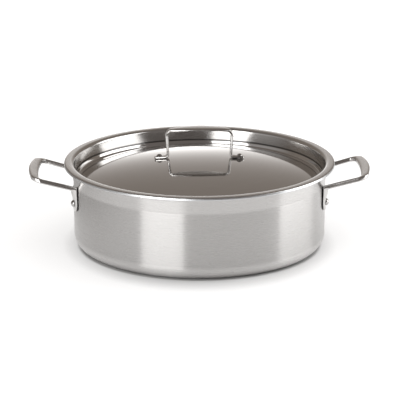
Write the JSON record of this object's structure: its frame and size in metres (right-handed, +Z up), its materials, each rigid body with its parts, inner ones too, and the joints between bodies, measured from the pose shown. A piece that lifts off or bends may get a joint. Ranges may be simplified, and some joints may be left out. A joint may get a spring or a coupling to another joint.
{
  "type": "saute pan",
  "caption": "Wide, low clad-steel saute pan with riveted loop handles, a pouring rim and a sunken domed lid that lifts out by an upright strap handle.",
  "frame": {"origin": "middle of the base, on the surface that the pan stands on", "axes": "+Z up along the pan's axis, +X through the right side handle, in line with the lid handle's span"},
  "size_m": [0.4126, 0.3272, 0.145],
  "materials": {
    "pan_outside": "brushed round the wall, satin",
    "pan_core": "bare, sealed between the skins",
    "pan_inside": "fine satin, bright on the seat and rim",
    "side_handles": "cast and polished",
    "rivets": "bright headed",
    "lid": "mirror polished",
    "lid_handle": "polished"
  },
  "bodies": {
    "pan": {"pan_outer_ply": "pan_outside", "pan_core_ply": "pan_core", "pan_inner_ply": "pan_inside", "side_handle_left": "side_handles", "side_handle_right": "side_handles", "side_rivet_left_front": "rivets", "side_rivet_left_back": "rivets", "side_rivet_right_front": "rivets", "side_rivet_right_back": "rivets"},
    "lid": {"lid": "lid", "lid_handle": "lid_handle", "lid_rivet_left": "rivets", "lid_rivet_right": "rivets"}
  },
  "joints": [
    {"name": "lid_lift", "type": "slide", "parent": "pan", "child": "lid", "axis": [0, 0, 1], "range_m": [0, 0.15]}
  ]
}
